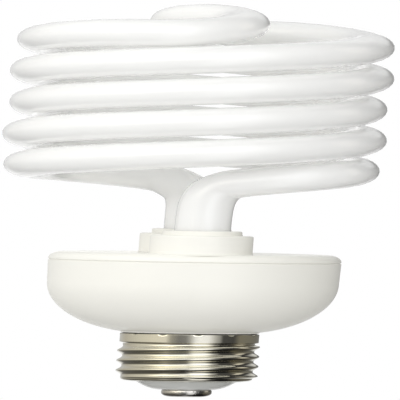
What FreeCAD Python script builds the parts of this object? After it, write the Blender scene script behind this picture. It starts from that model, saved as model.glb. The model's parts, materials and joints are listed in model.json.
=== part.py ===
import FreeCAD, Part
import math
import os

# Spiral energy saving bulb with a screw cap. All sizes are in millimetres.
# The origin is the middle of the centre contact's flat, +Z runs up through the cap to the coil,
# and -Y is the side that faces the viewer.

# Glass tube
TUBE_R = 5.05
COIL_R = 30.05                  # middle of the tube in the coil
COIL_LEAD = 22.95               # rise of one strand in a full turn
COIL_START_Z = 84.2             # height of both strands where their first full turn begins
COIL_TURNS = 2.0                # full turns before each strand leaves the ring
COIL_OFF_X = -1.95              # the coil stands a little to the left of the cap
COIL_LEAN = math.radians(1.17)  # and leans back towards the middle on its way up
STRAND_SPREAD = 0.3             # each strand lies this far to its own side
CROSSOVER_ANGLE = 53.0          # past the last full turn, where a strand turns in to the middle
CROSSOVER_Z = 139.95            # middle of the tube where the strands meet
CROSSOVER_EASE = 1.4            # how late a strand rises to it
RIM_R = 26.95                   # outside radius of the housing, which the legs and sockets follow
FRONT_LEG = (0.030 * RIM_R, -0.575 * RIM_R)
BACK_LEG = (-0.043 * RIM_R, 0.575 * RIM_R)
LEG_TOP_DROP = 17.2             # the straight part of a leg ends this far below the coil's start
PINCH_LENGTH = 7.0
PINCH_THICK = 2.6
PINCH_HEIGHT = 3.6
PINCH_SLOPE = 1.4
GLASS_FOOT_GAP = 1.6            # from the pinched end down to the board

# Sockets on the cover
SOCKET_R = 0.3525 * RIM_R
SOCKET_HEIGHT = 6.9
SEAT_R = 0.2727 * RIM_R
SEAT_HEIGHT = 1.7
CEMENT_WALL = 0.4
SOCKET_EDGE = 0.6

# Housing
RIM_Z = 50.0                    # seam between cover and housing
COVER_RISE = 2.9                # from the seam up to the cover's flat top
COVER_EDGE = 2.5
COVER_WALL = 1.8
SEAM_GROOVE = 0.25
WALL = 1.6
DRAFT = 0.15                    # the wall narrows this much down to the bend
BEND_Z = 41.9
BEND_R = 18.45
BEND_ANGLE = math.radians(75)
FIT = 0.15                      # clearance between plastic pieces
HOOKS = 4
HOOK_WIDTH = 6.0
HOOK_LENGTH = 4.6
HOOK_WALL = 1.1
BARB = 0.5
BARB_HEIGHT = 1.2
RIBS = 4
RIB_WALL = 1.4
RIB_REACH = 2.2

# Screw cap
PITCH = 3.629
CREST_R = 13.1
ROOT_R = 12.1
COLLAR_R = 12.8
COLLAR_HEIGHT = 3.5
SHELL_WALL = 0.3
SHELL_BOTTOM = 6.0
SHELL_TOP = 23.7
SHELL_EDGE = 0.9
LIP_R = 10.7
CREST_PHASE = 15.1              # height of a crest on the +X side
CREST_FLAT = 1.0
CREST_FOOT = 2.8
THREAD_FADE = 0.9
COLLAR_STEP = 0.5
NECK_WALL = 1.5
NECK_R = ROOT_R - SHELL_WALL - FIT / 2
NECK_INSIDE_R = NECK_R - NECK_WALL
NECK_BOTTOM = 10.4
CONTACT_R = 4.8
CONTACT_FLAT_R = 3.2
CONTACT_HEIGHT = 2.6
CONTACT_ROUND = 0.8             # height of the rounded edge over its width
CONTACT_STEM_R = 1.5
INSULATOR_WALL = 1.7
DOME_FULLNESS = 0.36            # 0.5 would be a straight cone

# Board and what stands on it. Sizes across the board are shares of its radius, heights are in millimetres.
BOARD_TOP = 43.6
BOARD_WALL = 1.6
BOARD_GAP = 0.5
BOARD_R = RIM_R - DRAFT - WALL - BOARD_GAP
LEAD_SIDE = 0.6
HOLE_SIDE = 0.8
STANDOFF = 0.3
SOLDER_LENGTH = 0.9
LEAD_SINK = 1.0                 # a lead starts this deep inside its part

CAN_R = 0.263 * BOARD_R
CAN_HEIGHT = 20.5
CAN_GROOVE = 0.4
CAN_GROOVE_DROP = 2.4
CAN_PITCH = 0.211 * BOARD_R

CHOKE_X = -0.534 * BOARD_R
CHOKE_WIDTH = 0.607 * BOARD_R
CHOKE_HEIGHT = 9.6
CHOKE_FOOT = 0.5                # height of the bobbin's rails above the core
CORE_THICK = 0.307 * CHOKE_WIDTH
CORE_LIMB = 0.147 * CHOKE_WIDTH
CORE_BACK = 2.0
BOBBIN_WALL = 0.047 * CHOKE_WIDTH
BOBBIN_REACH = 0.347 * CHOKE_WIDTH
WINDING_REACH = 0.313 * CHOKE_WIDTH
WINDING_EDGE = 0.08 * CHOKE_WIDTH
CHOKE_RAIL = 0.107 * CHOKE_WIDTH
CHOKE_PIN_Y = 0.277 * CHOKE_WIDTH

TOROID_PLACE = (0.551 * BOARD_R, 0.332 * BOARD_R)
TOROID_R = 0.186 * BOARD_R
TOROID_HOLE_R = 0.093 * BOARD_R
TOROID_HEIGHT = 3.8
TOROID_PITCH = 0.261 * BOARD_R
TURN_WALL = 0.5
TURN_SLACK = 0.1
TURN_GROUPS = 3
TURNS_PER_GROUP = 3
TURN_PHASE = 75.0
TURN_ANGLE = 24.0

TRANSISTOR_X = 0.211 * BOARD_R
TRANSISTOR_Y = 0.543 * BOARD_R
TRANSISTOR_WIDTH = 0.316 * BOARD_R
TRANSISTOR_THICK = 0.105 * BOARD_R
TRANSISTOR_HEIGHT = 10.6
TRANSISTOR_PITCH = 0.093 * BOARD_R
TRANSISTOR_LEG = 1.6
TAB_HOLE_R = 1.5
TAB_HOLE_RISE = 3.75            # from the body's free end up to the screw hole

INPUT_CHOKE_PLACE = (0.615 * BOARD_R, -0.130 * BOARD_R)
INPUT_CHOKE_R = 0.162 * BOARD_R
INPUT_CHOKE_HEIGHT = 9.0
INPUT_FLANGE = 1.2
INPUT_WAIST_R = 0.073 * BOARD_R
INPUT_COIL_DROP = 0.4           # from the flange's edge in to the winding

THERMISTOR_PLACE = (-0.332 * BOARD_R, -0.348 * BOARD_R)
THERMISTOR_R = 0.121 * BOARD_R
THERMISTOR_THICK = 0.089 * BOARD_R
THERMISTOR_PITCH = 0.142 * BOARD_R

LINE_WIRE_R = 0.7
LINE_WIRE_PLACE = (0.900 * NECK_INSIDE_R, 0.156 * NECK_INSIDE_R)
LINE_WIRE_RISE = 3.0            # straight up from the contact's stem before the wire leans out
LINE_WIRE_LEAN = 4.5            # height over which it leans out
LINE_WIRE_BEND = 2.0
NEUTRAL_WIRE_R = 0.4
NEUTRAL_PLACE = (-0.226 * NECK_INSIDE_R, -0.815 * NECK_INSIDE_R)
NEUTRAL_LAP = 5.0               # length that lies between neck and shell
NEUTRAL_BEND = 0.8

PIN_SIDE = 0.9
PIN_OFFSET = 0.297 * RIM_R
PIN_HEIGHT = 4.0
FILAMENT_R = 0.3
FILAMENT_SPREAD = 2.2
FILAMENT_DROP = 1.2

# Film capacitors: middle, size, lead pitch and turn
RADIAL_BOXES = {
    "resonant_capacitor": ((0.0, -0.551), (0.405, 0.202, 0.324), 0.304, 0),
    "blocking_capacitor": ((0.453, -0.462), (0.340, 0.162, 0.304), 0.202, 40),
    "snubber_capacitor": ((-0.518, 0.453), (0.186, 0.097, 0.202), 0.101, 45),
}
BOX_EDGE = 0.12                 # share of the thickness
# Small round parts that lie on the board: middles, radius, length and turn
AXIAL_PARTS = {
    "rectifier_diodes": ([(-0.628 + 0.154 * i, 0) for i in range(4)], 0.055, 0.202, 90),
    "fusible_resistor": ([(0.340, -0.251)], 0.069, 0.324, 90),
    "bias_resistors": ([(0.536 + 0.117 * i, 0.073) for i in range(3)], 0.038, 0.146, 90),
    "trigger_diac": ([(-0.591, -0.389)], 0.038, 0.138, 0),
}
AXIAL_REACH = 0.065 * BOARD_R   # from the end of such a part out to its lead's hole

V = FreeCAD.Vector
UP = V(0, 0, 1)
BOARD_BOTTOM = BOARD_TOP - BOARD_WALL
COVER_TOP = RIM_Z + COVER_RISE
COVER_UNDER = COVER_TOP - COVER_WALL
SOCKETS = (FRONT_LEG, BACK_LEG)


def cylinder(radius, low, high, place=(0, 0)):
    return Part.makeCylinder(radius, high - low, V(place[0], place[1], low))


def block(size_x, size_y, low, high, place=(0, 0)):
    corner = V(place[0] - size_x / 2, place[1] - size_y / 2, low)
    return Part.makeBox(size_x, size_y, high - low, corner)


def turned(shape, degrees, place=(0, 0)):
    copy = shape.copy()
    copy.rotate(V(place[0], place[1], 0), UP, degrees)
    return copy


def revolved(edges):
    """Solid of revolution about Z from edges of a closed outline in the XZ plane."""
    face = Part.Face(Part.Wire(edges))
    return face.revolve(V(0, 0, 0), UP, 360)


def outline(points):
    """Straight edges through (radius, height) points, closed."""
    loop = [V(r, 0, z) for r, z in points] + [V(points[0][0], 0, points[0][1])]
    return [Part.LineSegment(a, b).toShape() for a, b in zip(loop, loop[1:])]


def run(a, b):
    return Part.LineSegment(V(a[0], 0, a[1]), V(b[0], 0, b[1])).toShape()


def bow(a, middle, b):
    return Part.Arc(V(a[0], 0, a[1]), V(middle[0], 0, middle[1]), V(b[0], 0, b[1])).toShape()


def tangent_arc(start, corner, end):
    """Arc from start to end, tangent to the two equal lines that meet at corner."""
    middle = (start + end) * 0.5
    half_chord = (end - start).Length / 2
    side = (corner - start).Length
    depth = (corner - middle).Length
    if depth < 1e-4 * side:
        return Part.LineSegment(start, end).toShape()
    half_turn = math.acos(min(1.0, half_chord / side))
    apex = middle + (corner - middle) * (half_chord * math.tan(half_turn / 2) / depth)
    return Part.Arc(start, apex, end).toShape()


def double_arc(start, start_way, end, end_way):
    """Two arcs that leave start and reach end along the given directions and meet without a kink."""
    span = end - start
    ways = start_way + end_way
    bend = 1 - start_way.dot(end_way)
    along = span.dot(ways)
    if bend < 1e-9:
        reach = span.dot(span) / (2 * along)
    else:
        reach = (math.sqrt(along ** 2 + 2 * bend * span.dot(span)) - along) / (2 * bend)
    first = start + start_way * reach
    second = end - end_way * reach
    meet = (first + second) * 0.5
    return [tangent_arc(start, first, meet), tangent_arc(meet, second, end)]


def bent_path(points, radius):
    """Straight runs through points, with an arc of the given radius at each corner."""
    points = [V(*p) for p in points]
    edges = []
    here = points[0]
    for corner, after in zip(points[1:], points[2:]):
        way_in = (corner - here).normalize()
        way_out = (after - corner).normalize()
        turn = way_in.getAngle(way_out)
        cut = radius * math.tan(turn / 2)
        start = corner - way_in * cut
        end = corner + way_out * cut
        edges.append(Part.LineSegment(here, start).toShape())
        edges.append(tangent_arc(start, corner, end))
        here = end
    edges.append(Part.LineSegment(here, points[-1]).toShape())
    return edges


def swept(edges, radius):
    """Round bar along a path of lines and arcs that join without a kink."""
    path = Part.Wire(edges)
    first = edges[0]
    start = first.valueAt(first.FirstParameter)
    way = first.tangentAt(first.FirstParameter)
    ring = Part.Wire(Part.makeCircle(radius, start, way))
    return path.makePipe(Part.Face(ring))


def joined(shapes):
    whole = shapes[0].multiFuse(shapes[1:]) if len(shapes) > 1 else shapes[0]
    return whole.removeSplitter()


def bevelled(shape, size, chosen):
    """Bevels the edges that the test picks."""
    return shape.makeChamfer(size, [e for e in shape.Edges if chosen(e)])


def level_edge(height):
    def chosen(edge):
        box = edge.BoundBox
        return abs(box.ZMin - height) < 1e-3 and abs(box.ZMax - height) < 1e-3
    return chosen


# Glass spiral: a right-handed double coil. Two equal halves run from a leg to the crossover.

POLE_STEP = 30.0
POLE_OUT = 3 / (2 + math.cos(math.radians(POLE_STEP)))  # a spline runs inside its poles by this share
LEG_POLES = 4
CROSSOVER_POLES = 6
RING_STRIDE = 3                 # poles from one joint of the ring's arcs to the next
# Poles that lead a leg over into the coil: how far along the strand's way and how far out, both as
# shares of the coil's radius, and how far below the coil's start, as a share of its lead.
FRONT_SHOULDER = ((0.014, 0.007, 0.429), (0.111, 0.018, 0.251), (0.238, 0.102, 0.198), (0.789, 0.095, 0.059))
BACK_SHOULDER = ((-0.003, 0.009, 0.413), (0.126, 0.015, 0.256), (0.210, 0.112, 0.155), (0.856, 0.114, 0.037))


def coil_axis(height):
    return COIL_OFF_X + (height - COIL_START_Z) * math.tan(COIL_LEAN)


def ring_height(degrees):
    return COIL_START_Z + COIL_LEAD * degrees / 360


def half_poles(leg, shoulder, side):
    """Poles of one half, from the leg's foot up. side is 1 for the front strand and -1 for the back one."""
    foot = BOARD_TOP + GLASS_FOOT_GAP + PINCH_HEIGHT
    straight = COIL_START_Z - LEG_TOP_DROP - foot
    poles = [V(leg[0], leg[1], foot + straight * i / (LEG_POLES - 1)) for i in range(LEG_POLES)]
    for on, out, below in shoulder:
        height = COIL_START_Z - COIL_LEAD * below
        poles.append(V(leg[0] + side * on * COIL_R, leg[1] - side * out * COIL_R, height))
    leave = 360 * COIL_TURNS + CROSSOVER_ANGLE
    for step in range(round(leave / POLE_STEP)):
        degrees = POLE_STEP * step
        angle = math.radians(degrees)
        height = ring_height(degrees)
        x = coil_axis(height) - side * STRAND_SPREAD + side * COIL_R * POLE_OUT * math.cos(angle)
        poles.append(V(x, side * COIL_R * POLE_OUT * math.sin(angle), height))
    angle = math.radians(leave)
    start = ring_height(leave)
    for step in range(CROSSOVER_POLES):
        share = step / CROSSOVER_POLES
        turn = angle + math.pi * share
        height = start + (CROSSOVER_Z - start) * (1 - math.cos(math.pi * share ** CROSSOVER_EASE)) / 2
        x = COIL_R / 2 * (math.cos(angle) + POLE_OUT * math.cos(turn))
        y = COIL_R / 2 * (math.sin(angle) + POLE_OUT * math.sin(turn))
        poles.append(V(coil_axis(height) - side * STRAND_SPREAD * (1 - share) + side * x, side * y, height))
    return poles


def joint_poles(count):
    """Numbers of one half's poles beside which two arcs join: close together only where the tube bends hard."""
    first_ring = LEG_POLES + len(FRONT_SHOULDER)
    last_ring = count - CROSSOVER_POLES
    return [*range(LEG_POLES - 2, first_ring), *range(first_ring, last_ring, RING_STRIDE),
            *range(last_ring, count, 2)]


def tube_path():
    """Arcs and lines, joined without a kink, that follow a spline from the front leg to the back one."""
    front = half_poles(FRONT_LEG, FRONT_SHOULDER, 1)
    back = half_poles(BACK_LEG, BACK_SHOULDER, -1)
    middle = V(coil_axis(CROSSOVER_Z), 0, CROSSOVER_Z)
    line = Part.BSplineCurve()
    line.buildFromPoles(front + [middle] + back[::-1], False, 3)
    total = 2 * len(front) + 1
    joints = joint_poles(len(front))
    numbers = [1] + joints + [len(front)] + [total - 1 - i for i in reversed(joints)] + [total - 2]
    first, last = line.FirstParameter, line.LastParameter
    spots = [first + (last - first) * (i - 1) / (total - 3) for i in numbers]
    places = [line.value(t) for t in spots]
    ways = [line.tangent(t)[0] for t in spots]
    edges = []
    for i in range(len(spots) - 1):
        edges += double_arc(places[i], ways[i], places[i + 1], ways[i + 1])
    return edges


def pinched_end(leg):
    """Sloped end of a leg with its flat pinch, which the filament's wires come out of."""
    bottom = BOARD_TOP + GLASS_FOOT_GAP
    top = bottom + PINCH_HEIGHT
    slope = Part.makeCone(TUBE_R - PINCH_SLOPE, TUBE_R, PINCH_SLOPE, V(leg[0], leg[1], top - PINCH_SLOPE))
    return [slope, block(PINCH_LENGTH, PINCH_THICK, bottom, top - PINCH_SLOPE / 2, leg)]


def glass_spiral():
    tube = swept(tube_path(), TUBE_R)
    return joined([tube] + pinched_end(FRONT_LEG) + pinched_end(BACK_LEG))


def leg_cement():
    rings = []
    for leg in SOCKETS:
        outer = cylinder(TUBE_R + CEMENT_WALL, COVER_UNDER, COVER_TOP + SOCKET_HEIGHT, leg)
        rings.append(outer.cut(cylinder(TUBE_R, COVER_UNDER, COVER_TOP + SOCKET_HEIGHT, leg)))
    return Part.makeCompound(rings)


# Plastic pieces

def bowl_profile(inset):
    """Bend of the bowl's wall: where it starts, its middle and its end, moved in by inset."""
    radius = BEND_R - inset
    centre = RIM_R - DRAFT - BEND_R
    at = [(centre + radius * math.cos(a), BEND_Z - radius * math.sin(a)) for a in (0, BEND_ANGLE / 2, BEND_ANGLE)]
    slope = math.tan(math.pi / 2 - BEND_ANGLE)
    return at, slope


def hook_angles():
    return [45 + 360 / HOOKS * i for i in range(HOOKS)]


def holder_cover():
    inner = RIM_R - WALL - FIT
    flat = RIM_R - COVER_EDGE
    corner = (flat + COVER_EDGE * math.cos(math.pi / 4), RIM_Z + SEAM_GROOVE
              + (COVER_RISE - SEAM_GROOVE) * math.sin(math.pi / 4))
    edges = [
        run((0, COVER_UNDER), (0, COVER_TOP)),
        run((0, COVER_TOP), (flat, COVER_TOP)),
        bow((flat, COVER_TOP), corner, (RIM_R, RIM_Z + SEAM_GROOVE)),
        run((RIM_R, RIM_Z + SEAM_GROOVE), (RIM_R - SEAM_GROOVE, RIM_Z)),
        run((RIM_R - SEAM_GROOVE, RIM_Z), (inner, RIM_Z)),
        run((inner, RIM_Z), (inner, RIM_Z - WALL)),
        run((inner, RIM_Z - WALL), (inner - HOOK_WALL, RIM_Z - WALL)),
        run((inner - HOOK_WALL, RIM_Z - WALL), (inner - HOOK_WALL, COVER_UNDER)),
        run((inner - HOOK_WALL, COVER_UNDER), (0, COVER_UNDER)),
    ]
    cover = revolved(edges)
    sockets = []
    for leg in SOCKETS:
        socket = cylinder(SOCKET_R, COVER_TOP - COVER_WALL / 2, COVER_TOP + SOCKET_HEIGHT, leg)
        socket = bevelled(socket, SOCKET_EDGE, level_edge(COVER_TOP + SOCKET_HEIGHT))
        seat_top = COVER_TOP + SOCKET_HEIGHT + SEAT_HEIGHT
        seat = cylinder(SEAT_R, COVER_TOP, seat_top, leg)
        sockets += [socket, bevelled(seat, SOCKET_EDGE, level_edge(seat_top))]
    cover = joined([cover] + sockets)
    for leg in SOCKETS:
        lower = cylinder(TUBE_R + CEMENT_WALL, COVER_UNDER - WALL, COVER_TOP + SOCKET_HEIGHT, leg)
        mouth = cylinder(TUBE_R + FIT, COVER_TOP, COVER_TOP + SOCKET_HEIGHT + 2 * SEAT_HEIGHT, leg)
        cover = cover.cut(lower).cut(mouth)
    return joined([cover] + [hook(angle) for angle in hook_angles()])


def hook(angle):
    """Springy tab under the cover with a barb that snaps into the housing's groove."""
    outer = RIM_R - WALL - FIT
    top = RIM_Z - WALL
    low = RIM_Z - HOOK_LENGTH
    barb = low + BARB_HEIGHT
    tab = revolved(outline([
        (outer - HOOK_WALL, low), (outer, low), (outer + BARB, barb - BARB_HEIGHT / 3),
        (outer + BARB, barb), (outer, barb), (outer, top), (outer - HOOK_WALL, top)]))
    slice_box = Part.makeBox(2 * RIM_R, HOOK_WIDTH, HOOK_LENGTH, V(0, -HOOK_WIDTH / 2, low))
    return turned(tab.common(slice_box), angle)


def ballast_housing():
    """Bowl with the neck of the screw cap, board ribs and the groove for the cover's hooks."""
    inner = RIM_R - WALL
    outside, slope = bowl_profile(0)
    inside, slope = bowl_profile(WALL)
    step_r = COLLAR_R - SHELL_WALL - FIT / 2
    step_z = SHELL_TOP - COLLAR_HEIGHT + FIT
    foot_z = outside[2][1] - (outside[2][0] - COLLAR_R) * slope
    hole_z = inside[2][1] - (inside[2][0] - NECK_INSIDE_R) * slope
    groove = RIM_Z - HOOK_LENGTH + BARB_HEIGHT + FIT
    edges = [
        run((RIM_R - SEAM_GROOVE, RIM_Z), (RIM_R, RIM_Z - SEAM_GROOVE)),
        run((RIM_R, RIM_Z - SEAM_GROOVE), outside[0]),
        bow(*outside),
        run(outside[2], (COLLAR_R, foot_z)),
        run((COLLAR_R, foot_z), (COLLAR_R, SHELL_TOP)),
        run((COLLAR_R, SHELL_TOP), (step_r, SHELL_TOP)),
        run((step_r, SHELL_TOP), (step_r, step_z)),
        run((step_r, step_z), (NECK_R, step_z - COLLAR_STEP)),
        run((NECK_R, step_z - COLLAR_STEP), (NECK_R, NECK_BOTTOM)),
        run((NECK_R, NECK_BOTTOM), (NECK_INSIDE_R, NECK_BOTTOM)),
        run((NECK_INSIDE_R, NECK_BOTTOM), (NECK_INSIDE_R, hole_z)),
        run((NECK_INSIDE_R, hole_z), inside[2]),
        bow(inside[2], inside[1], inside[0]),
        run(inside[0], (inner, groove - BARB_HEIGHT - 2 * FIT)),
        run((inner, groove - BARB_HEIGHT - 2 * FIT), (inner + BARB, groove - BARB_HEIGHT - 2 * FIT)),
        run((inner + BARB, groove - BARB_HEIGHT - 2 * FIT), (inner + BARB, groove)),
        run((inner + BARB, groove), (inner, groove)),
        run((inner, groove), (inner, RIM_Z)),
        run((inner, RIM_Z), (RIM_R - SEAM_GROOVE, RIM_Z)),
    ]
    bowl = revolved(edges)
    rib_height = BOARD_BOTTOM - inside[1][1]
    rib = Part.makeBox(RIB_REACH + WALL, RIB_WALL, rib_height, V(inner - RIB_REACH, -RIB_WALL / 2, inside[1][1]))
    limit = revolved(outline([(0, 0), (inner + WALL / 2, 0), (inner + WALL / 2, RIM_Z), (0, RIM_Z)]))
    solid_bowl = revolved([run((0, RIM_Z), (RIM_R, RIM_Z)), run((RIM_R, RIM_Z), outside[0]), bow(*outside),
                           run(outside[2], (0, outside[2][1])), run((0, outside[2][1]), (0, RIM_Z))])
    ribs = [turned(rib, 360 / RIBS * i).common(limit).common(solid_bowl) for i in range(RIBS)]
    bowl = joined([bowl] + ribs)
    return bowl.cut(neutral_groove())


def neutral_groove():
    """Slot down the neck's outside in which the neutral wire lies against the shell."""
    angle = math.degrees(math.atan2(NEUTRAL_PLACE[1], NEUTRAL_PLACE[0]))
    width = 2 * NEUTRAL_WIRE_R + FIT
    depth = 2 * NEUTRAL_WIRE_R + FIT
    slot = Part.makeBox(depth + 1, width, neutral_top() + 1 - NECK_BOTTOM,
                        V(NECK_R - depth, -width / 2, NECK_BOTTOM - 0.5))
    return turned(slot, angle)


def neutral_top():
    return NECK_BOTTOM + NEUTRAL_LAP


# Screw cap

def shell_outline(inset):
    """Outline of the rolled shell without its thread, moved in by inset, from the lip up to the top."""
    root = ROOT_R - inset
    edge = SHELL_EDGE - inset
    low = SHELL_BOTTOM + inset
    step = SHELL_TOP - COLLAR_HEIGHT
    middle = (root - edge + edge * math.sin(math.pi / 4), low + edge - edge * math.cos(math.pi / 4))
    return [
        run((LIP_R, low), (root - edge, low)),
        bow((root - edge, low), middle, (root, low + edge)),
        run((root, low + edge), (root, step - COLLAR_STEP)),
        run((root, step - COLLAR_STEP), (COLLAR_R - inset, step)),
        run((COLLAR_R - inset, step), (COLLAR_R - inset, SHELL_TOP)),
    ]


def rolled_sheet():
    inside = [e.copy() for e in shell_outline(SHELL_WALL)]
    return revolved(shell_outline(0) + [
        run((COLLAR_R, SHELL_TOP), (COLLAR_R - SHELL_WALL, SHELL_TOP)),
        *reversed(inside),
        run((LIP_R, SHELL_BOTTOM + SHELL_WALL), (LIP_R, SHELL_BOTTOM)),
    ])


def thread_crest():
    """Helical ridge on the shell, which fades out at both ends where a cone cuts it off."""
    low = SHELL_BOTTOM + SHELL_EDGE
    high = SHELL_TOP - COLLAR_HEIGHT - COLLAR_STEP
    start = CREST_PHASE - math.ceil((CREST_PHASE - low) / PITCH) * PITCH
    helix = Part.makeHelix(PITCH, high + PITCH / 2 - start, ROOT_R)
    helix.translate(V(0, 0, start))
    base = ROOT_R - SHELL_WALL / 2
    corners = [V(base, 0, start - CREST_FOOT / 2), V(CREST_R, 0, start - CREST_FLAT / 2),
               V(CREST_R, 0, start + CREST_FLAT / 2), V(base, 0, start + CREST_FOOT / 2)]
    ridge = Part.Wire(helix.Edges).makePipeShell([Part.makePolygon(corners + corners[:1])], True, True)
    if ridge.Volume < 0:
        ridge.reverse()
    inner = ROOT_R - SHELL_WALL
    limit = revolved(outline([(0, low), (inner, low), (CREST_R + 1, low + THREAD_FADE),
                              (CREST_R + 1, high - THREAD_FADE), (inner, high), (0, high)]))
    return ridge.common(limit)


def screw_shell():
    return rolled_sheet().fuse(thread_crest())


def insulator_dome():
    """Points of the dome's outline between the shell's lip and the contact, as radius and height."""
    top = (LIP_R - FIT, SHELL_BOTTOM)
    foot = (CONTACT_R, CONTACT_HEIGHT)
    middle = (top[0] - (top[0] - foot[0]) * DOME_FULLNESS, foot[1] + (top[1] - foot[1]) * DOME_FULLNESS)
    return top, middle, foot


def cap_insulator():
    top, middle, foot = insulator_dome()
    seat = SHELL_BOTTOM + SHELL_WALL
    flange = ROOT_R - SHELL_EDGE
    edges = [
        run((CONTACT_STEM_R, foot[1]), foot),
        bow(foot, middle, top),
        run(top, (top[0], seat)),
        run((top[0], seat), (flange, seat)),
        run((flange, seat), (flange, seat + INSULATOR_WALL)),
        run((flange, seat + INSULATOR_WALL), (CONTACT_STEM_R, seat + INSULATOR_WALL)),
        run((CONTACT_STEM_R, seat + INSULATOR_WALL), (CONTACT_STEM_R, foot[1])),
    ]
    return revolved(edges)


def centre_contact():
    """Button with a rounded edge, and a stem that is clinched over the insulator."""
    edge = CONTACT_R - CONTACT_FLAT_R
    corner = (CONTACT_FLAT_R + edge * math.sin(math.pi / 4), edge * (1 - math.cos(math.pi / 4)) * CONTACT_ROUND)
    side = (CONTACT_R, edge * CONTACT_ROUND)
    stem_top = SHELL_BOTTOM + SHELL_WALL + INSULATOR_WALL
    edges = [
        run((0, 0), (CONTACT_FLAT_R, 0)),
        bow((CONTACT_FLAT_R, 0), corner, side),
        run(side, (CONTACT_R, CONTACT_HEIGHT)),
        run((CONTACT_R, CONTACT_HEIGHT), (CONTACT_STEM_R, CONTACT_HEIGHT)),
        run((CONTACT_STEM_R, CONTACT_HEIGHT), (CONTACT_STEM_R, stem_top)),
        run((CONTACT_STEM_R, stem_top), (0, stem_top)),
        run((0, stem_top), (0, 0)),
    ]
    return revolved(edges)


# Board and its parts. Large parts hang below the board, small ones lie on top of it.

def on_board(shares):
    return tuple(BOARD_R * share for share in shares)


def lead_pair(place, pitch, degrees):
    angle = math.radians(degrees)
    dx = math.cos(angle) * pitch / 2
    dy = math.sin(angle) * pitch / 2
    return [(place[0] - dx, place[1] - dy), (place[0] + dx, place[1] + dy)]


def transistor_leads():
    return [(side * TRANSISTOR_X + TRANSISTOR_PITCH * i, TRANSISTOR_Y) for side in (-1, 1) for i in (-1, 0, 1)]


def choke_pins():
    x = BOBBIN_REACH - CHOKE_RAIL / 2
    return [(CHOKE_X + side * x, end * CHOKE_PIN_Y) for side in (-1, 1) for end in (-1, 1)]


def pin_places():
    return [(leg[0] + side * PIN_OFFSET, leg[1]) for leg in SOCKETS for side in (-1, 1)]


def radial_leads(name):
    place, size, pitch, degrees = RADIAL_BOXES[name]
    return lead_pair(on_board(place), BOARD_R * pitch, degrees)


def axial_leads(name):
    places, radius, length, degrees = AXIAL_PARTS[name]
    pitch = BOARD_R * length + 2 * AXIAL_REACH
    return [end for place in places for end in lead_pair(on_board(place), pitch, degrees)]


def lead_places():
    places = lead_pair((0, 0), CAN_PITCH, 90) + transistor_leads() + choke_pins()
    places += lead_pair(TOROID_PLACE, TOROID_PITCH, 30)
    places += lead_pair(INPUT_CHOKE_PLACE, INPUT_CHOKE_R, 90)
    places += lead_pair(THERMISTOR_PLACE, THERMISTOR_PITCH, 45)
    for name in RADIAL_BOXES:
        places += radial_leads(name)
    for name in AXIAL_PARTS:
        places += axial_leads(name)
    return places


def up_leads(places, bottom):
    """Leads of a part below the board, up through their holes."""
    return [block(LEAD_SIDE, LEAD_SIDE, bottom, BOARD_TOP + SOLDER_LENGTH, p) for p in places]


def circuit_board():
    board = cylinder(BOARD_R, BOARD_BOTTOM, BOARD_TOP)
    holes = [block(HOLE_SIDE, HOLE_SIDE, BOARD_BOTTOM - 1, BOARD_TOP + 1, p) for p in lead_places()]
    holes += [block(PIN_SIDE + FIT, PIN_SIDE + FIT, BOARD_BOTTOM - 1, BOARD_TOP + 1, p) for p in pin_places()]
    holes.append(cylinder(LINE_WIRE_R + FIT, BOARD_BOTTOM - 1, BOARD_TOP + 1, LINE_WIRE_PLACE))
    holes.append(cylinder(NEUTRAL_WIRE_R + FIT, BOARD_BOTTOM - 1, BOARD_TOP + 1, NEUTRAL_PLACE))
    return board.cut(Part.makeCompound(holes))


def smoothing_capacitor():
    top = BOARD_BOTTOM - STANDOFF
    low = top - CAN_HEIGHT
    groove = top - CAN_GROOVE_DROP
    edges = [
        run((0, low), (CAN_R - CAN_GROOVE, low)),
        bow((CAN_R - CAN_GROOVE, low), (CAN_R - CAN_GROOVE * 0.3, low + CAN_GROOVE * 0.3), (CAN_R, low + CAN_GROOVE)),
        run((CAN_R, low + CAN_GROOVE), (CAN_R, groove - CAN_GROOVE)),
        bow((CAN_R, groove - CAN_GROOVE), (CAN_R - CAN_GROOVE, groove), (CAN_R, groove + CAN_GROOVE)),
        run((CAN_R, groove + CAN_GROOVE), (CAN_R, top - CAN_GROOVE)),
        run((CAN_R, top - CAN_GROOVE), (CAN_R - CAN_GROOVE, top)),
        run((CAN_R - CAN_GROOVE, top), (0, top)),
        run((0, top), (0, low)),
    ]
    return joined([revolved(edges)] + up_leads(lead_pair((0, 0), CAN_PITCH, 90), top - LEAD_SINK))


def choke_heights():
    top = BOARD_BOTTOM - STANDOFF - CHOKE_FOOT
    return top - CHOKE_HEIGHT, top


def choke_core():
    low, high = choke_heights()
    core = block(CORE_THICK, CHOKE_WIDTH, low, high, (CHOKE_X, 0))
    window = CHOKE_WIDTH / 2 - CORE_LIMB - CORE_THICK / 2
    for side in (-1, 1):
        middle = side * (CORE_THICK / 2 + window / 2)
        core = core.cut(block(CORE_THICK + 1, window, low + CORE_BACK, high - CORE_BACK, (CHOKE_X, middle)))
    return core


def choke_window():
    low, high = choke_heights()
    return low + CORE_BACK + FIT, high - CORE_BACK - FIT


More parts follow.
